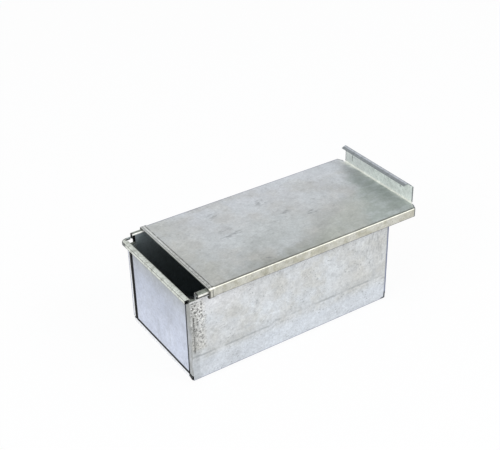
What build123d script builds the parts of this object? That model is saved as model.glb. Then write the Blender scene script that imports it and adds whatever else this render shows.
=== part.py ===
from build123d import *
import os

# A folded sheet-metal pullman loaf pan with a sliding lid, in millimetres, +Z up.
# The origin is the middle of the pan's underside and +X runs to the lid's handle end.
# The lid is drawn slid partly open, with the front of the cavity uncovered.

# Pan
pan_length = 198.0  # over the edge folds
pan_width = 100.0  # over the plain long sides
rim_height = 85.4  # top of the long side beads
sheet = 0.6
landing_share = 1.3  # sheets above the outer face at which a fold's edge is let into the sheet
base_bend = 1.4  # outer radius of the long bottom edges

# Edge folds that grip the end panels
fold_face = 5.6  # width on a long side, seen from the end
foot_face = 3.6  # height along the base, seen from the end
foot_end = 2.0  # the base folds are cut this far short at each side
fold_depth = 7.5
fold_bend = 0.9
fold_wall = 10.0  # length of side drawn with each fold
fold_drop = 7.4  # the folds stop this far below the rim
fold_slit = 1.7  # between a base fold and the upright folds beside it

# Long side beads
bead_width = 3.7  # stands out from the side
bead_height = 4.8
bead_bend = 1.2
bead_mouth = 0.9  # gap between the bead's turned-in edge and the side
bead_start = 5.6  # cut short of the pan's end
bead_root = 2.5  # height of side drawn with each bead

# End panels
panel_recess = 0.4
panel_bend = 0.9
fold_gap = 0.7
end_bead_width = 4.8  # stands out from the panel
end_bead_height = 4.2
end_bead_bend = 1.7
end_bead_drop = 3.2  # below the long side beads
end_bead_mouth = 1.2
end_bead_overhang = 0.8  # past the near long side
ledge_gap = 0.3
ear_width = 2.7  # strip of the bead that turns the far corner
ear_height = 3.1
ear_turn = 4.9  # turning radius of its outer wall's middle line
ear_gap = 0.5  # to the side bead's end

# Lid
lid_length = 210.5
lid_open = 15.5  # from the pan's front end to the lid's front edge
lid_bend = 1.0
top_gap = 0.4
side_gap = 0.3
channel_height = 8.4
channel_return = 3.0
hem_width = 5.5
hem_round = 0.5
corner_length = 4.2

# Handle flange
handle_width = 92.0
handle_height = 16.8
handle_bend = 1.4
handle_reach = 6.0
handle_corner = 1.5  # cut off the flange's upper near corner
lip_width = 5.2
lip_crease = 2.6  # from the flange to the crease where the lip turns down
lip_crease_drop = 0.3
lip_drop = 1.7
lip_end = 6.5  # the lip is cut this far short at its near end

overrun = 1.0

# Places worked out from the sizes above
half_length = pan_length / 2
half_width = pan_width / 2
fold_top = rim_height - fold_drop
fold_foot = foot_face + fold_slit
landing = landing_share * sheet
tray_top = fold_top + ledge_gap
panel_line = panel_recess + sheet / 2 - half_length
bead_length = pan_length - 2 * bead_start
end_bead_top = rim_height - end_bead_drop
end_bead_near = -half_width - end_bead_overhang
end_bead_line = panel_line - end_bead_width
ear_axis = end_bead_line + ear_turn
ear_start = half_width + bead_width - sheet / 2 - ear_turn
ear_end = bead_start - half_length - ear_gap
lid_half = half_width + bead_width + side_gap + sheet
lid_top = rim_height + top_gap + sheet
lid_foot = lid_top - channel_height
lid_front = lid_open - half_length
lid_rear = lid_front + lid_length
handle_half = handle_width / 2
handle_top = lid_top + handle_height


# Middle line of an edge fold's turned-back leg: from its outer bend to where it lands on the sheet
def fold_leg(face):
    return Vector(sheet / 2, face - sheet / 2), Vector(fold_depth, landing)


# Distance from the pan's outside, at a depth, to the panel flange beside that leg: to its outer
# side, or to its inner side with inner=True
def flange_place(face, depth, inner=False):
    start, end = fold_leg(face)
    along = (end - start).normalized()
    gap = sheet / 2 + fold_gap + (sheet if inner else 0)
    near = start + Vector(-along.Y, along.X) * gap
    return near.Y + (depth - near.X) * along.Y / along.X


# A block that flares inwards as the folds do, its front edges rounded
def flared_block(front, back, top, bend, inner=False):
    with BuildPart() as block:
        for depth in (front, back):
            side = half_width - flange_place(fold_face, depth, inner)
            foot = flange_place(foot_face, depth, inner)
            with BuildSketch(Plane.YZ.offset(depth - half_length)):
                with BuildLine():
                    Polyline((-side, top), (-side, foot), (side, foot), (side, top), close=True)
                make_face()
        loft()
        front_face = block.faces().sort_by(Axis.X)[0]
        fillet(front_face.edges().sort_by(Axis.Z)[:-1], radius=bend)
    return block.part


# Pan body: base, long sides, beads and edge folds
with BuildPart() as pan_body:
    # Base and long sides up to the top of the folds
    with BuildSketch(Plane.YZ.offset(fold_bend - half_length)):
        with BuildLine():
            FilletPolyline(
                (sheet / 2 - half_width, fold_top),
                (sheet / 2 - half_width, sheet / 2),
                (half_width - sheet / 2, sheet / 2),
                (half_width - sheet / 2, fold_top),
                radius=base_bend - sheet / 2,
            )
        trace(line_width=sheet)
    extrude(amount=pan_length - 2 * fold_bend)

    # Long side beads, folded outwards and cut short of the corners
    with BuildSketch(Plane.YZ.offset(bead_start - half_length)):
        with BuildLine():
            FilletPolyline(
                (sheet / 2 - half_width, fold_top - bead_root),
                (sheet / 2 - half_width, rim_height - sheet / 2),
                (sheet / 2 - half_width - bead_width, rim_height - sheet / 2),
                (sheet / 2 - half_width - bead_width, rim_height - bead_height + sheet / 2),
                (-half_width - bead_mouth, rim_height - bead_height + sheet / 2),
                radius=bead_bend - sheet / 2,
            )
        trace(line_width=sheet)
        mirror(about=Plane.YZ)
    extrude(amount=bead_length)

    # Upright edge folds at the four corners
    side_leg_start, side_leg_end = fold_leg(fold_face)
    with BuildSketch(Plane.XY.offset(fold_foot)):
        with BuildLine():
            FilletPolyline(
                (fold_wall - half_length, sheet / 2 - half_width),
                (sheet / 2 - half_length, sheet / 2 - half_width),
                (side_leg_start.X - half_length, side_leg_start.Y - half_width),
                (side_leg_end.X - half_length, side_leg_end.Y - half_width),
                radius=fold_bend - sheet / 2,
            )
        trace(line_width=sheet)
        mirror(about=Plane.YZ)
        mirror(about=Plane.XZ)
    extrude(amount=fold_top - fold_foot)

    # The top of each upright fold is turned over and hammered flat
    leg_step = (side_leg_end - side_leg_start).normalized() * fold_bend
    cap_near = side_leg_start + leg_step
    cap_far = side_leg_end - leg_step
    with BuildSketch(Plane.XY.offset(fold_top)):
        with BuildLine():
            Polyline(
                (cap_far.X - half_length, sheet / 2 - half_width),
                (sheet / 2 - half_length, sheet / 2 - half_width),
                (sheet / 2 - half_length, side_leg_start.Y - fold_bend - half_width),
                (cap_near.X - half_length, cap_near.Y - half_width),
                (cap_far.X - half_length, cap_far.Y - half_width),
                close=True,
            )
        make_face()
        mirror(about=Plane.YZ)
        mirror(about=Plane.XZ)
    extrude(amount=-sheet)

    # Edge folds along both ends of the base
    foot_leg_start, foot_leg_end = fold_leg(foot_face)
    with BuildSketch(Plane.XZ.offset(foot_end - half_width)):
        with BuildLine():
            FilletPolyline(
                (fold_wall - half_length, sheet / 2),
                (sheet / 2 - half_length, sheet / 2),
                (foot_leg_start.X - half_length, foot_leg_start.Y),
                (foot_leg_end.X - half_length, foot_leg_end.Y),
                radius=fold_bend - sheet / 2,
            )
        trace(line_width=sheet)
        mirror(about=Plane.YZ)
    extrude(amount=pan_width - 2 * foot_end)

# Front end panel: a flanged tray set into the folds, with a beaded top edge
tray_core = flared_block(
    panel_recess + sheet, fold_depth + overrun, tray_top + overrun, panel_bend - sheet, inner=True
)
with BuildPart() as front_end_panel:
    # Tray, open towards the cavity and at the top
    add(flared_block(panel_recess, fold_depth, tray_top, panel_bend))
    add(tray_core, mode=Mode.SUBTRACT)

    # Neck and end bead above the folds, open at its near end
    with BuildSketch(Plane.XZ.offset(-end_bead_near)):
        with BuildLine():
            FilletPolyline(
                (panel_line, tray_top),
                (panel_line, end_bead_top - sheet / 2),
                (end_bead_line, end_bead_top - sheet / 2),
                (end_bead_line, end_bead_top - end_bead_height + sheet / 2),
                (panel_line - end_bead_mouth, end_bead_top - end_bead_height + sheet / 2),
                radius=end_bead_bend - sheet / 2,
            )
        trace(line_width=sheet)
    extrude(amount=end_bead_near - ear_start)

    # Ear: the bead's top and outer wall run on round the far corner
    with BuildSketch(Plane.XZ.offset(-ear_start)):
        with BuildLine():
            FilletPolyline(
                (end_bead_line + ear_width, end_bead_top - sheet / 2),
                (end_bead_line, end_bead_top - sheet / 2),
                (end_bead_line, end_bead_top - ear_height),
                radius=end_bead_bend - sheet / 2,
            )
        trace(line_width=sheet)
    revolve(axis=Axis((ear_axis, ear_start, 0), (0, 0, -1)), revolution_arc=90)
    with BuildSketch(Plane.YZ.offset(ear_axis)):
        with BuildLine():
            FilletPolyline(
                (ear_start + ear_turn - ear_width, end_bead_top - sheet / 2),
                (ear_start + ear_turn, end_bead_top - sheet / 2),
                (ear_start + ear_turn, end_bead_top - ear_height),
                radius=end_bead_bend - sheet / 2,
            )
        trace(line_width=sheet)
    extrude(amount=ear_end - ear_axis)

# Rear end panel: the same piece facing the other way
with BuildPart() as rear_end_panel:
    mirror(front_end_panel.part, about=Plane.YZ)

# Lid
with BuildPart() as lid:
    # Top and the channels that run under the long side beads
    with BuildSketch(Plane.YZ.offset(lid_front)):
        with BuildLine():
            FilletPolyline(
                (channel_return - lid_half, lid_foot + sheet / 2),
                (sheet / 2 - lid_half, lid_foot + sheet / 2),
                (sheet / 2 - lid_half, lid_top - sheet / 2),
                (lid_half - sheet / 2, lid_top - sheet / 2),
                (lid_half - sheet / 2, lid_foot + sheet / 2),
                (lid_half - channel_return, lid_foot + sheet / 2),
                radius=lid_bend - sheet / 2,
            )
        trace(line_width=sheet)
    extrude(amount=lid_length - handle_bend)

    # Hem: the front edge folded back over the outside, down the channels too
    with BuildSketch(Plane.YZ.offset(lid_front)):
        with BuildLine():
            FilletPolyline(
                (channel_return - lid_half, lid_foot - sheet / 2),
                (-sheet / 2 - lid_half, lid_foot - sheet / 2),
                (-sheet / 2 - lid_half, lid_top + sheet / 2),
                (lid_half + sheet / 2, lid_top + sheet / 2),
                (lid_half + sheet / 2, lid_foot - sheet / 2),
                (lid_half - channel_return, lid_foot - sheet / 2),
                radius=lid_bend + sheet / 2,
            )
        trace(line_width=sheet)
    extrude(amount=hem_width)
    hem_nose = lid.faces().sort_by(Axis.X)[0]
    fillet(hem_nose.edges(), radius=hem_round)

    # Cut corners at the rear
    with BuildSketch(Plane.XY.offset(lid_foot - overrun)):
        with BuildLine():
            Polyline(
                (lid_rear - corner_length, -lid_half - overrun),
                (lid_rear - corner_length, -lid_half),
                (lid_rear, -handle_half),
                (lid_rear + overrun, -handle_half),
                (lid_rear + overrun, -lid_half - overrun),
                close=True,
            )
        make_face()
        mirror(about=Plane.XZ)
    extrude(amount=channel_height + 2 * overrun, mode=Mode.SUBTRACT)

    # Handle flange, turned up at the rear with its top lip folded forwards
    with BuildSketch(Plane.XZ.offset(-handle_half)):
        with BuildLine():
            FilletPolyline(
                (lid_rear - handle_reach, lid_top - sheet / 2),
                (lid_rear - sheet / 2, lid_top - sheet / 2),
                (lid_rear - sheet / 2, handle_top - sheet / 2),
                (lid_rear - lip_crease, handle_top - sheet / 2 - lip_crease_drop),
                (lid_rear - lip_width, handle_top - sheet / 2 - lip_drop),
                radius=handle_bend - sheet / 2,
            )
        trace(line_width=sheet)
    extrude(amount=handle_width)

    # The lip stops short of the flange's near end, where the flange's corner is cut off
    with BuildSketch(Plane.YZ.offset(lid_rear - handle_bend)):
        with BuildLine():
            Polyline(
                (lip_end - handle_half, handle_top + overrun),
                (lip_end - handle_half, lid_top + handle_height / 2),
                (-handle_half - overrun, lid_top + handle_height / 2),
                (-handle_half - overrun, handle_top + overrun),
                close=True,
            )
        make_face()
    extrude(amount=-lip_width - overrun, mode=Mode.SUBTRACT)
    with BuildSketch(Plane.YZ.offset(lid_rear - handle_bend)):
        with BuildLine():
            Polyline(
                (-handle_half, handle_top - handle_corner),
                (-handle_half, handle_top),
                (handle_corner - handle_half, handle_top),
                close=True,
            )
        make_face()
    extrude(amount=handle_bend, mode=Mode.SUBTRACT)

os.makedirs("parts", exist_ok=True)
pan_body.part.label = "pan_body"
export_step(pan_body.part, "parts/pan_body.step")
front_end_panel.part.label = "front_end_panel"
export_step(front_end_panel.part, "parts/front_end_panel.step")
rear_end_panel.part.label = "rear_end_panel"
export_step(rear_end_panel.part, "parts/rear_end_panel.step")
lid.part.label = "lid"
export_step(lid.part, "parts/lid.step")
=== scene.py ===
import math

import bpy
from mathutils import Matrix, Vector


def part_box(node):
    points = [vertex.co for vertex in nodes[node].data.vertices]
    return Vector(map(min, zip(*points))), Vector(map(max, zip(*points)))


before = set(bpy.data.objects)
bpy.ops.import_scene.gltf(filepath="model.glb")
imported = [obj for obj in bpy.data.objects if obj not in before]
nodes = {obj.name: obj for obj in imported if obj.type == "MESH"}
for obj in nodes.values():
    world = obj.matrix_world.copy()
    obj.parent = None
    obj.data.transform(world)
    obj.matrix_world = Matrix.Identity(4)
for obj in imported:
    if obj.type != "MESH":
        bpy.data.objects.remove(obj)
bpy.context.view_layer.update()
print("frame loaded:", ", ".join(sorted(nodes)))

mm = 0.001


def tone(red, green, blue):  # a colour as seen on screen, 0 to 255, turned linear
    def linear(part):
        part = part / 255
        return part / 12.92 if part <= 0.04045 else ((part + 0.055) / 1.055) ** 2.4
    return (linear(red), linear(green), linear(blue), 1.0)


# Sheet material kit: every pattern is laid out in millimetres of the object itself
sheet = {}  # the material being painted: its look, node tree, shader and position in mm


def startSheet(name, look):
    material = bpy.data.materials.new(name)
    material.use_nodes = True
    tree = material.node_tree
    tree.nodes.clear()
    output = tree.nodes.new("ShaderNodeOutputMaterial")
    shader = tree.nodes.new("ShaderNodeBsdfPrincipled")
    tree.links.new(shader.outputs["BSDF"], output.inputs["Surface"])
    place = tree.nodes.new("ShaderNodeTexCoord")
    scale = tree.nodes.new("ShaderNodeVectorMath")
    scale.operation = "SCALE"
    scale.inputs["Scale"].default_value = 1 / mm
    tree.links.new(place.outputs["Object"], scale.inputs[0])
    split = tree.nodes.new("ShaderNodeSeparateXYZ")
    tree.links.new(scale.outputs["Vector"], split.inputs[0])
    point = scale.outputs["Vector"]
    sheet.update(look=look, material=material, tree=tree, shader=shader, point=point)
    return split.outputs["X"], split.outputs["Y"], split.outputs["Z"]


def feed(socket, value):  # a number, a colour or another node's output
    if isinstance(value, bpy.types.NodeSocket):
        sheet["tree"].links.new(value, socket)
    else:
        socket.default_value = value


def sums(operation, first, second=0.0):
    node = sheet["tree"].nodes.new("ShaderNodeMath")
    node.operation = operation
    feed(node.inputs[0], first)
    feed(node.inputs[1], second)
    return node.outputs[0]


def plus(first, second):
    return sums("ADD", first, second)


def minus(first, second):
    return sums("SUBTRACT", first, second)


def times(first, second):
    return sums("MULTIPLY", first, second)


def over(first, second):
    return sums("DIVIDE", first, second)


def unsigned(value):
    return sums("ABSOLUTE", value)


def ramp(value, low, high, fromAmount, toAmount, kind="SMOOTHSTEP"):
    node = sheet["tree"].nodes.new("ShaderNodeMapRange")
    node.interpolation_type = kind
    feed(node.inputs["Value"], value)
    feed(node.inputs["From Min"], low)
    feed(node.inputs["From Max"], high)
    feed(node.inputs["To Min"], fromAmount)
    feed(node.inputs["To Max"], toAmount)
    return node.outputs["Result"]


def rise(value, low, high):  # smooth step from 0 at low to 1 at high, either way round
    if low < high:
        return ramp(value, low, high, 0.0, 1.0)
    return ramp(value, high, low, 1.0, 0.0)


def band(value, low, high, soft):  # 1 between low and high, fading out over soft
    return both(rise(value, low - soft, low), rise(value, high + soft, high))


def both(*masks):
    result = masks[0]
    for mask in masks[1:]:
        result = times(result, mask)
    return result


def either(*masks):
    result = masks[0]
    for mask in masks[1:]:
        result = sums("MAXIMUM", result, mask)
    return result


def spot(first, second, place, reach):  # soft round patch, wider one way than the other
    across = over(minus(first, place[0]), reach[0])
    along = over(minus(second, place[1]), reach[1])
    away = plus(sums("POWER", across, 2.0), sums("POWER", along, 2.0))
    return rise(away, 1.0, 0.05)


def noise(grain, stretch=(1, 1, 1), shift=0.0, detail=3.0, rough=0.55):
    mapping = sheet["tree"].nodes.new("ShaderNodeMapping")
    mapping.inputs["Location"].default_value = (shift, shift * 0.7, shift * 1.3)
    mapping.inputs["Scale"].default_value = [1 / (grain * part) for part in stretch]
    feed(mapping.inputs["Vector"], sheet["point"])
    pattern = sheet["tree"].nodes.new("ShaderNodeTexNoise")
    pattern.inputs["Scale"].default_value = 1.0
    pattern.inputs["Detail"].default_value = detail
    pattern.inputs["Roughness"].default_value = rough
    feed(pattern.inputs["Vector"], mapping.outputs["Vector"])
    return pattern.outputs["Fac"]


def blotches(grain, low=0.4, high=0.6, **more):  # noise with its middle pulled apart
    return rise(noise(grain, **more), low, high)


def tint(colour, amount, shade, strength=1.0):
    node = sheet["tree"].nodes.new("ShaderNodeMix")
    node.data_type = "RGBA"
    node.clamp_factor = True
    if strength != 1.0:
        amount = times(amount, strength)
    feed(node.inputs["Factor"], amount)
    feed(node.inputs[6], colour)  # sockets 6 and 7 in and 2 out are the mix node's colours
    feed(node.inputs[7], shade)
    return node.outputs[2]


def paint(colour, coats):  # each coat says where it lies, the name of its shade, its strength
    for where, shade, strength in coats:
        colour = tint(colour, where, sheet["look"][shade], strength)
    return colour


def mottle(colour, grain, amount, **more):  # lighter and darker cloud, even on average
    level = ramp(noise(grain, **more), 0.25, 0.75, 1 - amount, 1 + amount, "LINEAR")
    node = sheet["tree"].nodes.new("ShaderNodeVectorMath")
    node.operation = "SCALE"
    feed(node.inputs[0], colour)
    feed(node.inputs["Scale"], level)
    return node.outputs["Vector"]


def finishSheet(colour):  # fine clouds over the colour, then gloss and dents
    look, shader = sheet["look"], sheet["shader"]
    for index, (grain, amount) in enumerate(look["clouds"]):
        colour = mottle(colour, grain, amount, shift=7.0 + 13.0 * index, detail=5.0, rough=0.6)
    feed(shader.inputs["Base Color"], colour)
    shader.inputs["Metallic"].default_value = look["metallic"]
    wearAndHighlight = noise(look["roughGrain"], shift=31.0)
    rough = ramp(wearAndHighlight, 0.3, 0.7, look["roughLow"], look["roughHigh"])
    feed(shader.inputs["Roughness"], rough)
    height = None
    for grain, depth, detail in look["dents"]:
        bump = sheet["tree"].nodes.new("ShaderNodeBump")
        bump.inputs["Distance"].default_value = depth * mm
        feed(bump.inputs["Height"], noise(grain, shift=57.0 + grain, detail=detail))
        if height:
            feed(bump.inputs["Normal"], height)
        height = bump.outputs["Normal"]
    feed(shader.inputs["Normal"], height)
    return sheet["material"]


def dress(node, material):
    piece = nodes[node]
    for slot in piece.material_slots:
        slot.material = material
    if not piece.material_slots:
        piece.data.materials.append(material)


# In each look, places and sizes are in millimetres and strengths run from 0 to 1. A pair is
# where a shade starts and where it is full, or a patch's place or reach both ways. Three
# numbers are a band's ends and its soft margin, four are two places and the amount at each.
# Clouds are grain and strength, dents are grain, depth and detail.

# Lid
lidLook = {
    "hemStep": 0.6, "channelTall": 8.4, "handleHalf": 46.0, "cornerLong": 4.2,
    "plain": tone(190, 192, 193), "far": tone(200, 203, 208), "near": tone(167, 169, 166),
    "nearEdge": tone(138, 141, 134), "front": tone(179, 180, 175), "cool": tone(197, 202, 206),
    "warm": tone(184, 183, 179), "pool": tone(187, 192, 193), "smudge": tone(102, 105, 108),
    "handleEnd": tone(158, 167, 163), "haze": tone(176, 180, 171), "footPale": tone(238, 240, 232),
    "edgeDark": tone(84, 85, 74), "farLine": tone(110, 112, 138), "wearAndHighlight": tone(250, 248, 234),
    "hemDark": tone(56, 56, 52), "hemPale": tone(208, 209, 204), "inside": tone(118, 122, 120),
    "channel": tone(203, 202, 192), "channelOlive": tone(170, 167, 147),
    "channelFoot": tone(112, 112, 120), "flange": tone(246, 252, 247),
    "flangeFar": tone(214, 219, 216), "flangeGrey": tone(218, 226, 220), "mark": tone(96, 102, 96),
    "lip": tone(186, 190, 197), "lipDark": tone(112, 118, 118), "outline": tone(76, 78, 88),
    "poolPlace": (6, -14), "poolReach": (46, 28),
    "smudges": [  # place, reach and strength of each hand mark
        ((-26, 33), (6, 7), 0.5), ((-27, 1), (15, 4), 0.45), ((-28, 9), (9, 3), 0.4),
        ((21, 29), (7, 7), 0.55), ((30, 5), (8, 2.5), 0.55), ((49, -8), (9, 4), 0.5),
        ((78, 12), (6, 4), 0.45), ((36, 46), (4, 4), 0.4), ((14, -4), (5, 3), 0.5),
        ((-23, -45), (6, 3), 0.45), ((-30, 51), (18, 4), 0.35), ((-60, 20), (7, 5), 0.3),
    ],
    "farSlant": 0.42, "nearSlant": 1.75, "nearSet": 4.0, "zoneDrift": 9.0,
    "hemNose": (0.0, 0.8, 0.3), "hemMiddle": (2.0, 3.1, 0.4), "hemDashes": (1.7, 4.3, 0.4),
    "hemDip": (1.15, 1.4, 0.4), "hemLine": (3.7, 4.2, 0.45), "hemSideLine": (3.25, 3.6, 0.35),
    "scarPlace": (36, 94), "scarReach": (0.9, 4.5), "dotPlace": (-30, 96), "dotReach": (1.0, 1.3),
    "farFade": (5.0, 50.0), "nearFade": (8.0, -30.0), "nearEdgeFade": (-32.0, -54.0),
    "zoneFade": (90.0, 108.0), "zoneThins": (6.0, 42.0, 1.0, 0.25), "hazeFade": (90.0, 120.0),
    "streakFade": (88.0, 104.0), "footGrows": (22.0, 40.0, 0.4, 1.0), "dashFade": (40.0, -30.0),
    "footDarkens": (-50.0, 50.0, 0.7, 0.95), "flangeFarFade": (-6.0, 34.0),
    "flangeNearFade": (-28.0, -42.0), "flangeEdge": (44.9, 45.5),
    "clouds": [(38, 0.06), (12, 0.08), (4, 0.10), (1.5, 0.13)],
    "metallic": 0.4, "roughGrain": 14, "roughLow": 0.4, "roughHigh": 0.56,
    "dents": [(42, 0.25, 1.0), (9, 0.05, 2.0), (1.1, 0.02, 2.0)],
}


def lidTop(x, y, front, rear, half):
    look = lidLook
    pool = spot(x, y, look["poolPlace"], look["poolReach"])
    flecks = blotches(1.8, 0.44, 0.62, stretch=(2.8, 0.9, 1), shift=5.0, detail=5.0)
    smudges = [
        (both(spot(x, y, place, reach), flecks), "smudge", strength)
        for place, reach, strength in look["smudges"]
    ]
    scratches = blotches(1.5, 0.6, 0.72, stretch=(3, 1, 1), shift=27.0, detail=4.0)
    # darker greenish zone by the handle, its border bending towards the near edge
    zoneDrift = look["zoneDrift"]
    drift = ramp(noise(22, shift=41.0, detail=4.0), 0.3, 0.7, -zoneDrift, zoneDrift, "LINEAR")
    farReach = plus(minus(x, times(y, look["farSlant"])), drift)
    nearReach = plus(plus(minus(x, times(y, look["nearSlant"])), look["nearSet"]), drift)
    zone = both(rise(farReach, *look["zoneFade"]), ramp(y, *look["zoneThins"]))
    streaks = blotches(7, 0.46, 0.62, stretch=(1.8, 0.8, 1), shift=91.0, detail=4.0)
    # painted light on the top beside the handle's foot, strongest towards the far side
    paleFoot = both(
        rise(x, rear - 6.5, rear - 2.2), ramp(y, *look["footGrows"]),
        blotches(6, 0.32, 0.55, shift=81.0),
    )
    # painted shade line just inside the near edge, broken in places
    nearLine = band(y, 1.0 - half, 1.9 - half, 0.7)
    broken = ramp(noise(11, shift=29.0), 0.35, 0.6, 0.7, 1.0)
    return paint(look["plain"], [
        # painted light and shade: lighter towards the far side, darker towards the near edge
        (rise(y, *look["farFade"]), "far", 0.8),
        (rise(y, *look["nearFade"]), "near", 0.9),
        (rise(y, *look["nearEdgeFade"]), "nearEdge", 0.75),
        (rise(x, -36.0, front + 10.0), "front", 0.75),
        (blotches(30, 0.42, 0.64, shift=3.0, detail=4.0), "cool", 0.45),
        (blotches(22, 0.46, 0.68, shift=19.0, detail=4.0), "warm", 0.5),
        (pool, "pool", 0.55),
        *smudges,
        (scratches, "smudge", 0.25),
        (rise(nearReach, *look["hazeFade"]), "haze", 0.45),
        (zone, "handleEnd", 0.75),
        (both(streaks, rise(farReach, *look["streakFade"])), "cool", 0.3),
        (paleFoot, "footPale", 0.75),
        (both(nearLine, broken), "edgeDark", 0.85),
        # painted shade along the far edge, where the top bends down
        (rise(y, half - 1.9, half - 0.7), "farLine", 0.9),
    ])


def lidHem(colour, y, inward):  # folded over the front edge; pale bands and two dark lines on it are painted highlight and shade
    look = lidLook
    dashes = both(
        band(inward, *look["hemDashes"]), blotches(1.7, 0.46, 0.55, shift=63.0),
        rise(y, *look["dashFade"]),
    )
    breaks = ramp(noise(6, shift=14.0), 0.36, 0.52, 0.25, 1.0)
    return paint(colour, [
        (band(inward, *look["hemNose"]), "hemPale", 0.45),
        (band(inward, *look["hemMiddle"]), "hemPale", 0.6),
        (dashes, "hemDark", 0.45),
        (band(inward, *look["hemDip"]), "hemDark", 0.6),
        (both(band(inward, *look["hemLine"]), breaks), "hemDark", 0.75),
    ])


def lidChannel(x, z, inward, rear, foot, top):  # down the long edges
    look = lidLook
    footShade = both(rise(z, foot + 1.2, foot + 0.7), ramp(x, *look["footDarkens"]))
    # painted shade lines where the hem steps over the channel's face
    hemLines = either(
        band(inward, *look["hemSideLine"]),
        both(rise(inward, 1.6, 1.1), rise(z, top - 1.0, top - 1.6)),
    )
    return paint(look["channel"], [
        (blotches(7, 0.45, 0.68, shift=3.0, detail=4.0), "channelOlive", 0.65),
        (blotches(3, 0.56, 0.72, shift=9.0, detail=4.0), "edgeDark", 0.3),
        (rise(x, rear - 26.0, rear - 8.0), "channelOlive", 0.4),
        (footShade, "channelFoot", 1.0),
        (hemLines, "hemDark", 0.8),
    ])


def lidHandle(x, y, z, side, rear, lipTop):  # upturned flange with its slanted lip
    look = lidLook
    scar = both(spot(y, z, look["scarPlace"], look["scarReach"]), blotches(1.5, 0.35, 0.5))
    flange = paint(look["flange"], [
        (blotches(6, 0.42, 0.68, shift=19.0, detail=4.0), "flangeGrey", 0.7),
        (rise(y, *look["flangeFarFade"]), "flangeFar", 0.9),
        (rise(y, *look["flangeNearFade"]), "flange", 0.5),
        (scar, "mark", 0.85),
        (spot(y, z, look["dotPlace"], look["dotReach"]), "mark", 0.6),
        (blotches(1.4, 0.62, 0.7, shift=33.0), "mark", 0.35),
        (rise(x, rear - 0.7, rear - 0.3), "flangeGrey", 0.6),
        # painted shade along the flange's ends
        (rise(side, *look["flangeEdge"]), "outline", 0.8),
    ])
    # the lip's sloping front half darkened with painted shade
    lip = paint(look["lip"], [
        (rise(x, rear - 2.6, rear - 3.6), "lipDark", 0.75),
        (blotches(4, 0.45, 0.65, shift=61.0), "lipDark", 0.3),
    ])
    onLip = both(rise(x, rear - 0.9, rear - 1.4), rise(z, lipTop - 2.6, lipTop - 2.3))
    # painted shade line along the lip's crest
    crest = both(rise(x, rear - 2.0, rear - 0.9), rise(z, lipTop - 0.5, lipTop - 0.2))
    return tint(tint(flange, onLip, lip), crest, look["outline"], 0.7)


def lidMaterial():
    look = lidLook
    x, y, z = startSheet("lidSheet", look)
    low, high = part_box("lid")
    front, rear, lipTop = low.x / mm, high.x / mm, high.z / mm
    half = high.y / mm - look["hemStep"]
    foot = low.z / mm + look["hemStep"]
    top = foot + look["channelTall"]
    side, inward = unsigned(y), minus(x, front)
    colour = lidHem(lidTop(x, y, front, rear, half), y, inward)
    face = both(rise(side, half - 0.4, half - 0.2), rise(z, top + 0.05, top - 0.25))
    colour = tint(colour, face, lidChannel(x, z, inward, rear, foot, top))
    # painted highlight along the bends of the long edges, broken in places
    bend = both(band(side, half - 0.5, half + 0.5, 0.3), band(z, top - 0.5, top + 0.4, 0.2))
    highlightBreaks = ramp(noise(7, shift=47.0), 0.3, 0.6, 0.6, 1.0)
    inside = both(rise(side, half - 0.1, half - 0.35), rise(z, top - 0.35, top - 0.55))
    colour = paint(colour, [(both(bend, highlightBreaks), "wearAndHighlight", 0.9), (inside, "inside", 1.0)])
    standing = both(rise(x, rear - 6.5, rear - 5.5), rise(z, top + 0.5, top + 0.8))
    colour = tint(colour, standing, lidHandle(x, y, z, side, rear, lipTop))
    # painted highlight along the crease at the handle's foot, painted shade lines on the lid's cut
    # rear corners and along the hem's front face
    handleHalf = look["handleHalf"]
    crease = both(band(x, rear - 1.8, rear - 0.5, 0.3), band(z, top, top + 0.9, 0.2))
    slant = over(minus(side, handleHalf), half - handleHalf)
    cut = plus(over(minus(x, rear), look["cornerLong"]), slant)
    corner = both(rise(cut, -0.3, -0.14), rise(side, handleHalf, handleHalf + 0.6))
    nose = both(rise(x, front + 0.5, front + 0.3), rise(z, top + 0.6, top + 0.5))
    return finishSheet(paint(colour, [
        (crease, "footPale", 0.95), (corner, "outline", 0.9), (nose, "hemDark", 0.65),
    ]))


dress("lid", lidMaterial())
print("lid dressed")

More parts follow.
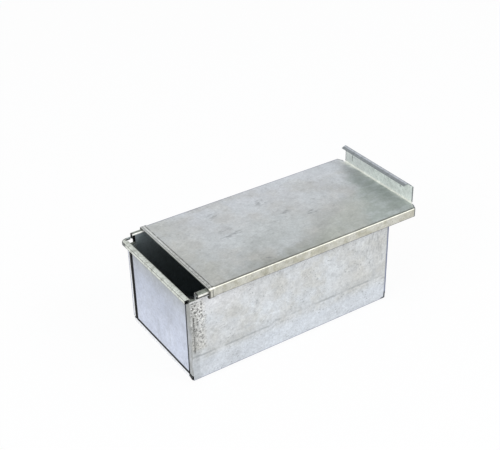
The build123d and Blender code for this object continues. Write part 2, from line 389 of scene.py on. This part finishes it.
# Pan body
panLook = {
    "wallSide": 50.0, "lipEdge": 44.4, "footEdge": 3.6, "foldTop": 78.0, "beadShort": 5.6,
    "wall": tone(211, 213, 214), "cool": tone(217, 222, 227), "warm": tone(203, 203, 199),
    "grey": tone(186, 189, 190), "low": tone(214, 220, 228), "smudge": tone(132, 136, 138),
    "glow": tone(230, 231, 233), "line": tone(132, 138, 142), "zone": tone(203, 199, 188),
    "pit": tone(52, 52, 48), "pitRimAndHighlight": tone(246, 246, 242), "foldStrip": tone(158, 162, 163),
    "edgeBlue": tone(104, 112, 144), "edgeDark": tone(30, 32, 44), "inside": tone(160, 172, 176),
    "insideNear": tone(58, 62, 67), "crevice": tone(8, 10, 12), "creviceNear": tone(196, 199, 205),
    "lipNear": tone(180, 183, 186), "lipTop": tone(150, 152, 148), "lipPale": tone(244, 245, 247),
    "beadTop": tone(132, 138, 128), "beadMark": tone(70, 74, 68), "beadBright": tone(250, 250, 243),
    "beadDark": tone(36, 38, 34), "ledge": tone(122, 128, 118),
    "lineBand": (23.2, 23.9, 1.0), "faintBand": (19.6, 20.2, 1.2), "greyBand": (25.0, 28.0, 4.0),
    "lineStep": (-25.0, -19.0, 0.0, 2.8), "lineSway": 0.7,
    "tongueSlope": 0.47, "tongueTall": (22.8, 25.6, 0.3), "tongueWide": (-49.2, -43.6, 0.4),
    "gapWidens": (40.0, 74.0, 1.9, 2.6), "gapFade": (40.0, 41.0),
    "glowUp": (52.0, 74.0), "glowFront": (-30.0, -62.0), "warmRear": (0.0, 90.0),
    "lowFade": (25.0, 14.0), "stripGrows": (24.0, 50.0, 0.45, 0.8), "zoneTall": (32.0, 74.0, 5.0),
    "pitsGrow": (34.0, 70.0, 0.6, 1.0), "seamTall": (29.0, 62.0, 3.0),
    "scuffTall": (44.0, 76.0, 6.0), "baseEdge": (1.7, 0.7), "heelUpright": (9.0, 6.0),
    "heelFlat": (2.6, 1.8), "lipTopFade": (48.0, 66.0), "insideFade": (48.0, -30.0),
    "nearFade": (10.0, -10.0), "cornerFade": (47.5, 49.0),
    "clouds": [(32, 0.04), (11, 0.07), (4, 0.11), (1.4, 0.16)],
    "metallic": 0.35, "roughGrain": 12, "roughLow": 0.42, "roughHigh": 0.58,
    "dents": [(50, 0.3, 1.0), (10, 0.06, 2.0), (1.2, 0.025, 2.0)],
}


def panWalls(x, z):  # plain sides and base, with a faint broken line along the sides
    look = panLook
    # painted light on the upper front of the sides
    upper = both(rise(z, *look["glowUp"]), rise(x, *look["glowFront"]))
    flecks = both(
        blotches(1.3, 0.58, 0.68, stretch=(1.6, 1, 1), shift=27.0),
        blotches(11, 0.42, 0.6, shift=44.0),
    )
    step = ramp(x, *look["lineStep"])
    lineSway = look["lineSway"]
    sway = ramp(noise(24, shift=37.0), 0.3, 0.7, -lineSway, lineSway, "LINEAR")
    level = plus(minus(z, step), sway)
    breaks = ramp(noise(13, shift=3.0, detail=4.0), 0.36, 0.6, 0.15, 1.0)
    faint = both(band(level, *look["faintBand"]), blotches(9, 0.45, 0.6, shift=5.0))
    return paint(look["wall"], [
        (blotches(30, 0.4, 0.62, shift=3.0, detail=4.0), "cool", 0.7),
        (blotches(20, 0.45, 0.66, shift=7.0, detail=4.0), "warm", 0.75),
        (rise(x, *look["warmRear"]), "warm", 0.4),
        (blotches(8, 0.52, 0.7, shift=17.0, detail=5.0), "grey", 0.5),
        # painted bluish reflection of the floor low down
        (rise(z, *look["lowFade"]), "low", 0.7),
        (upper, "glow", 0.8),
        (flecks, "smudge", 0.55),
        (both(band(level, *look["lineBand"]), breaks), "line", 0.55),
        (faint, "line", 0.22),
        (band(level, *look["greyBand"]), "grey", 0.3),
    ])


def panWear(colour, x, z, side, along, end):
    look = panLook
    # worn pits beside the front corners, upright scuffs beside the rear ones
    wallSide, foldTop, front = look["wallSide"], look["foldTop"], times(x, -1.0)
    strip = both(rise(front, end - 8.4, end - 5.6), ramp(z, *look["stripGrows"]))
    zone = both(
        band(front, end - 11.0, end - 3.0, 5.0), band(z, *look["zoneTall"]),
        rise(side, wallSide - 0.3, wallSide - 0.1),
    )
    thick = ramp(z, *look["pitsGrow"])
    pits = both(zone, thick, blotches(1.9, 0.53, 0.6, shift=2.0, detail=1.0))
    rims = both(zone, thick, blotches(2.2, 0.57, 0.64, shift=71.0, detail=1.0))
    seam = both(
        band(front, end - 3.6, end - 2.8, 0.5), band(z, *look["seamTall"]),
        ramp(noise(3, shift=8.0), 0.35, 0.5, 0.3, 1.0),
    )
    scuffs = both(
        band(x, end - 22.0, end - 5.0, 6.0), band(z, *look["scuffTall"]),
        blotches(1.3, 0.52, 0.62, stretch=(1, 1, 5), shift=23.0),
    )
    # painted highlight along the top of the walls over the folds, painted shade lines along the
    # base and the rear corners
    cut = both(band(z, foldTop - 1.4, foldTop - 0.4, 0.5), rise(along, end - 12.0, end - 8.0))
    heel = either(
        both(rise(x, end - 2.8, end - 2.0), rise(z, *look["heelUpright"])),
        both(rise(x, end - 7.0, end - 4.0), rise(z, *look["heelFlat"])),
    )
    return paint(colour, [
        (strip, "foldStrip", 0.9),
        (zone, "zone", 0.35),
        (pits, "pit", 0.8),
        (rims, "pitRimAndHighlight", 0.8),
        (seam, "pit", 0.6),
        (scuffs, "smudge", 0.32),
        (rise(x, end - 3.4, end - 1.6), "foldStrip", 0.5),
        (cut, "pitRimAndHighlight", 0.5),
        (rise(z, *look["baseEdge"]), "edgeBlue", 0.9),
        (rise(x, end - 2.4, end - 1.2), "edgeBlue", 0.95),
        (heel, "edgeDark", 0.9),
    ])


def panBeads(colour, z, side, along, end, rim):
    look = panLook
    wallSide, foldTop, beadEnd = look["wallSide"], look["foldTop"], end - look["beadShort"]
    # dark mottled top, painted highlight on the outer face with a painted shadow at its foot,
    # painted shade in the open ends
    outer = both(rise(z, rim - 0.8, rim - 1.5), rise(side, wallSide + 2.8, wallSide + 3.3))
    onBead = paint(look["beadTop"], [
        (blotches(1.8, 0.48, 0.62, shift=53.0), "beadMark", 0.6),
        (outer, "beadBright", 0.95),
        (rise(z, rim - 2.8, rim - 3.2), "beadDark", 0.95),
        (rise(along, beadEnd - 1.2, beadEnd - 0.6), "beadDark", 0.9),
    ])
    bead = both(rise(side, wallSide + 0.1, wallSide + 0.3), rise(z, rim - 5.4, rim - 5.0))
    openEnd = both(
        band(along, beadEnd - 0.2, beadEnd + 0.3, 0.2), rise(z, foldTop + 0.1, foldTop + 0.4),
        rise(side, wallSide + 0.2, wallSide),
    )
    # painted highlight along the rim's inner edge
    rimTop = both(rise(side, wallSide + 0.3, wallSide), rise(z, rim - 1.6, rim - 1.2))
    return paint(tint(colour, bead, onBead), [
        (openEnd, "ledge", 0.9), (rimTop, "beadBright", 0.8),
    ])


def panLips(y, z, near):  # lips of the edge folds: pale, greyer on the near upright ones
    look = panLook
    lipEdge, footEdge = look["lipEdge"], look["footEdge"]
    streaks = blotches(1.6, 0.42, 0.58, stretch=(1, 1, 6), shift=34.0)
    # the far lip narrows upwards, with painted shade in the gap beside it
    taper = minus(y, ramp(z, *look["gapWidens"], "LINEAR"))
    gap = both(rise(taper, lipEdge + 0.3, lipEdge), rise(y, *look["gapFade"]))
    # a slanted cut through the near lip
    slope = minus(z, times(y, look["tongueSlope"]))
    tongue = both(band(slope, *look["tongueTall"]), band(y, *look["tongueWide"]))
    return paint(look["lipPale"], [
        (near, "lipNear", 1.0),
        (both(near, rise(z, *look["lipTopFade"])), "lipTop", 0.8),
        (rise(z, footEdge + 1.2, footEdge), "lipPale", 1.0),
        (both(near, streaks, rise(z, footEdge, footEdge + 1.5)), "lipTop", 0.75),
        (both(gap, rise(z, footEdge, footEdge + 0.6)), "crevice", 1.0),
        (tongue, "crevice", 0.95),
    ])


def panMaterial():
    look = panLook
    x, y, z = startSheet("panSheet", look)
    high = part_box("pan_body")[1]
    end, rim = high.x / mm, high.z / mm
    wallSide, foldTop = look["wallSide"], look["foldTop"]
    lipEdge, footEdge = look["lipEdge"], look["footEdge"]
    side, along = unsigned(y), unsigned(x)
    colour = panWear(panWalls(x, z), x, z, side, along, end)
    colour = panBeads(colour, z, side, along, end, rim)
    # inside of the pan, with painted shade darkening it towards the near wall
    inner = both(
        rise(side, wallSide - 0.2, wallSide - 0.45), rise(z, 0.2, 0.45),
        rise(z, rim - 0.8, rim - 1.6),
    )
    inside = tint(look["inside"], rise(y, *look["insideFade"]), look["insideNear"])
    colour = tint(colour, inner, inside)
    # edge folds at both ends: painted shade inside them and in a slit along the base, with a ledge
    # on top
    atEnds = rise(along, end - 8.0, end - 7.7)
    near = rise(y, *look["nearFade"])
    shaded = both(near, rise(z, footEdge + 2.0, footEdge + 6.0))
    deep = tint(look["crevice"], shaded, look["creviceNear"])
    colour = tint(colour, both(inner, atEnds), deep)
    lips = both(
        rise(along, end - 0.75, end - 0.45),
        either(
            rise(side, lipEdge + 0.25, lipEdge + 0.5),
            rise(z, footEdge - 0.25, footEdge - 0.5),
        ),
    )
    colour = tint(colour, lips, panLips(y, z, near))
    # painted shade line down the far front corner
    corner = both(rise(y, *look["cornerFade"]), rise(times(x, -1.0), end - 1.4, end - 0.7))
    slit = both(
        band(z, footEdge - 0.2, footEdge + 1.75, 0.1), atEnds,
        rise(side, wallSide - 0.2, wallSide - 0.4),
    )
    colour = paint(colour, [(corner, "edgeBlue", 0.85), (slit, "crevice", 1.0)])
    cap = both(band(z, foldTop - 0.05, foldTop + 0.1, 0.15), atEnds)
    ledge = tint(look["ledge"], blotches(1.6, 0.48, 0.6, shift=67.0), look["beadMark"], 0.6)
    return finishSheet(tint(colour, cap, ledge))


dress("pan_body", panMaterial())
print("pan body dressed")

# End panels
endLook = {
    "panHalf": 99.0, "faceEdge": 42.8, "footEdge": 5.1, "panelTop": 78.3,
    "face": tone(189, 195, 209), "pale": tone(208, 214, 229), "grey": tone(177, 182, 193),
    "topGrey": tone(165, 169, 171), "underBead": tone(96, 100, 100), "bead": tone(203, 207, 199),
    "beadPale": tone(218, 221, 213), "beadOlive": tone(148, 151, 139),
    "beadMark": tone(104, 108, 102), "outline": tone(58, 62, 66), "inside": tone(150, 158, 158),
    "crevice": tone(8, 10, 12), "creviceNear": tone(70, 74, 80),
    "sideSlope": 0.628, "sideEdge": (-42.85, -43.15), "footSlope": 0.35, "footLine": (4.9, 4.7),
    "lowFade": (54.0, 16.0), "nearFade": (-8.0, -42.0), "topFade": (52.0, 74.0),
    "underBeadFade": (71.0, 74.5), "innerFace": (0.7, 0.9), "flangeDeep": (0.97, 0.93),
    "earEnd": (50.4, 51.8), "farBead": (42.0, 46.0), "creviceFade": (-30.0, -40.0),
    "notchFade": (-40.5, -42.0),
    "clouds": [(26, 0.04), (9, 0.07), (3.5, 0.1), (1.4, 0.13)],
    "metallic": 0.35, "roughGrain": 12, "roughLow": 0.42, "roughHigh": 0.56,
    "dents": [(45, 0.3, 1.0), (9, 0.06, 2.0), (1.2, 0.02, 2.0)],
}


def endFace(y, z, depth):  # greyer towards the top, with a painted shadow under the bead, paler low down
    look = endLook
    grain = blotches(9, 0.5, 0.68, stretch=(1, 1, 2), shift=17.0, detail=5.0)
    return paint(look["face"], [
        (blotches(20, 0.4, 0.62, shift=3.0, detail=4.0), "grey", 0.5),
        (rise(z, *look["lowFade"]), "pale", 0.85),
        (rise(y, *look["nearFade"]), "pale", 0.35),
        (grain, "grey", 0.5),
        (rise(z, *look["topFade"]), "topGrey", 0.75),
        (rise(z, *look["underBeadFade"]), "underBead", 0.8),
        (rise(depth, *look["innerFace"]), "inside", 1.0),
    ])


def endHidden(y, z, side, depth):  # painted shade on the outer sides of the turned-in flanges, inside the folds
    look = endLook
    faceEdge, footEdge, panelTop = look["faceEdge"], look["footEdge"], look["panelTop"]
    sideRun = minus(times(depth, look["sideSlope"]), side)
    footRun = plus(times(depth, look["footSlope"]), z)
    shallow = rise(depth, *look["flangeDeep"])
    hidden = either(
        both(rise(side, faceEdge - 0.15, faceEdge + 0.15), shallow),
        both(rise(y, faceEdge - 0.9, faceEdge - 0.5), shallow),
        both(rise(z, footEdge + 1.2, footEdge + 0.8), shallow),
        rise(sideRun, *look["sideEdge"]), rise(footRun, *look["footLine"]),
    )
    return both(hidden, rise(z, panelTop + 0.2, panelTop))


def endBead(y, z, depth, reach, beadTop):  # rolled top edge, with painted shade along its underside and where the roll is open
    look = endLook
    earEnd = either(
        rise(y, *look["earEnd"]),
        both(rise(y, *look["farBead"]), rise(depth, -3.6, -4.1)),
    )
    hollow = both(
        band(depth, look["panHalf"] - reach + 0.45, -0.1, 0.1),
        band(z, beadTop - 3.75, beadTop - 0.45, 0.1),
    )
    return paint(look["bead"], [
        (rise(depth, -1.8, -3.6), "beadPale", 0.8),
        (rise(depth, -0.6, 0.5), "beadOlive", 0.55),
        (blotches(4.5, 0.48, 0.64, shift=9.0, detail=4.0), "beadOlive", 0.55),
        (blotches(1.7, 0.54, 0.66, shift=21.0), "beadMark", 0.4),
        (rise(z, beadTop - 2.4, beadTop - 2.9), "outline", 0.85),
        (earEnd, "outline", 0.8),
        (hollow, "crevice", 1.0),
    ])


def endMaterial():
    look = endLook
    x, y, z = startSheet("endSheet", look)
    low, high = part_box("front_end_panel")
    reach, beadTop = -low.x / mm, high.z / mm
    depth = minus(look["panHalf"], unsigned(x))  # inwards from the face, below 0 on the bead
    footEdge, panelTop = look["footEdge"], look["panelTop"]
    colour = endFace(y, z, depth)
    # painted shade inside the folds, paler on the near side
    nearSide = both(rise(y, *look["creviceFade"]), rise(z, footEdge + 1.5, footEdge + 6.0))
    dark = tint(look["crevice"], nearSide, look["creviceNear"])
    colour = tint(colour, endHidden(y, z, unsigned(y), depth), dark)
    outside = both(rise(z, beadTop - 4.4, beadTop - 4.1), rise(depth, 0.8, 0.6))
    colour = tint(colour, outside, endBead(y, z, depth, reach, beadTop))
    # painted shade in the notch on the near side, below the bead
    notch = both(
        rise(depth, 0.5, 0.7), band(z, panelTop - 3.0, beadTop - 1.0, 0.4),
        rise(y, *look["notchFade"]),
    )
    return finishSheet(tint(colour, notch, look["crevice"], 0.9))


endFinish = endMaterial()
dress("front_end_panel", endFinish)
dress("rear_end_panel", endFinish)
print("end panels dressed")

# Studio
studio = {
    "floorSize": 4.0, "floorDrop": 0.0003, "floorTone": (0.93, 0.93, 0.935, 1.0),
    "floorRough": 0.9, "floorGlow": 0.92, "worldTone": (0.97, 0.985, 1.0, 1.0), "worldFill": 0.72,
    "lamps": [  # name, place in metres, size and power
        ("keyLamp", (0.75, -0.95, 1.15), 0.7, 7.0),
        ("sideLamp", (-1.3, -0.3, 0.8), 0.9, 6.5),
    ],
}


def watched(tree):  # 1 for what the camera, gloss and glass see
    path = tree.nodes.new("ShaderNodeLightPath")
    seen = path.outputs["Is Camera Ray"]
    for other in ("Is Glossy Ray", "Is Transmission Ray"):
        node = tree.nodes.new("ShaderNodeMath")
        node.operation = "MAXIMUM"
        tree.links.new(seen, node.inputs[0])
        tree.links.new(path.outputs[other], node.inputs[1])
        seen = node.outputs[0]
    return seen


def studioFloor():
    place = (0, 0, -studio["floorDrop"])
    bpy.ops.mesh.primitive_plane_add(size=studio["floorSize"], location=place)
    floor = bpy.context.object
    floor.name = "studioFloor"
    material = bpy.data.materials.new("studioFloor")
    material.use_nodes = True
    tree = material.node_tree
    shader = tree.nodes["Principled BSDF"]
    shader.inputs["Base Color"].default_value = studio["floorTone"]
    shader.inputs["Roughness"].default_value = studio["floorRough"]
    shader.inputs["Specular IOR Level"].default_value = 0.0
    glow = tree.nodes.new("ShaderNodeEmission")
    blend = tree.nodes.new("ShaderNodeMixShader")
    share = tree.nodes.new("ShaderNodeMath")
    share.operation = "MULTIPLY"
    share.inputs[1].default_value = studio["floorGlow"]
    tree.links.new(watched(tree), share.inputs[0])
    tree.links.new(share.outputs[0], blend.inputs["Fac"])
    tree.links.new(shader.outputs["BSDF"], blend.inputs[1])
    tree.links.new(glow.outputs["Emission"], blend.inputs[2])
    tree.links.new(blend.outputs["Shader"], tree.nodes["Material Output"].inputs["Surface"])
    floor.data.materials.append(material)


def studioWorld():
    world = bpy.data.worlds.new("studioWorld")
    bpy.context.scene.world = world
    world.use_nodes = True
    tree = world.node_tree
    background = tree.nodes["Background"]
    background.inputs["Color"].default_value = studio["worldTone"]
    level = tree.nodes.new("ShaderNodeMapRange")
    level.inputs["To Min"].default_value = studio["worldFill"]
    level.inputs["To Max"].default_value = 1.0
    tree.links.new(watched(tree), level.inputs["Value"])
    tree.links.new(level.outputs["Result"], background.inputs["Strength"])


def studioLamp(name, place, width, power):  # turned to the middle of the floor
    lamp = bpy.data.lights.new(name, "AREA")
    lamp.size = width
    lamp.energy = power
    holder = bpy.data.objects.new(name, lamp)
    bpy.context.scene.collection.objects.link(holder)
    holder.location = place
    holder.rotation_euler = (-holder.location).to_track_quat("-Z", "Y").to_euler()


studioFloor()
studioWorld()
for lampSettings in studio["lamps"]:
    studioLamp(*lampSettings)
print("studio ready")

# Camera, placed where the photograph was taken from: metres, degrees, pixels
view = {
    "place": (-0.40179, -0.6055, 0.54154), "azimuth": -32.93, "elevation": 32.055, "roll": -1.2724,
    "focalPixels": 1029.83, "pictureWidth": 500, "sensor": 36.0, "clipNear": 0.05, "clipFar": 20.0,
}


def studioCamera():
    camera = bpy.data.cameras.new("camera")
    camera.sensor_width = view["sensor"]
    camera.lens = view["focalPixels"] * view["sensor"] / view["pictureWidth"]
    camera.clip_start = view["clipNear"]
    camera.clip_end = view["clipFar"]
    holder = bpy.data.objects.new("camera", camera)
    bpy.context.scene.collection.objects.link(holder)
    turn = (
        Matrix.Rotation(math.radians(view["azimuth"]), 4, "Z")
        @ Matrix.Rotation(math.radians(90 - view["elevation"]), 4, "X")
        @ Matrix.Rotation(math.radians(view["roll"]), 4, "Z")
    )
    holder.matrix_world = Matrix.Translation(view["place"]) @ turn
    bpy.context.scene.camera = holder


studioCamera()
bpy.context.scene.view_settings.view_transform = "Standard"
print("camera ready")
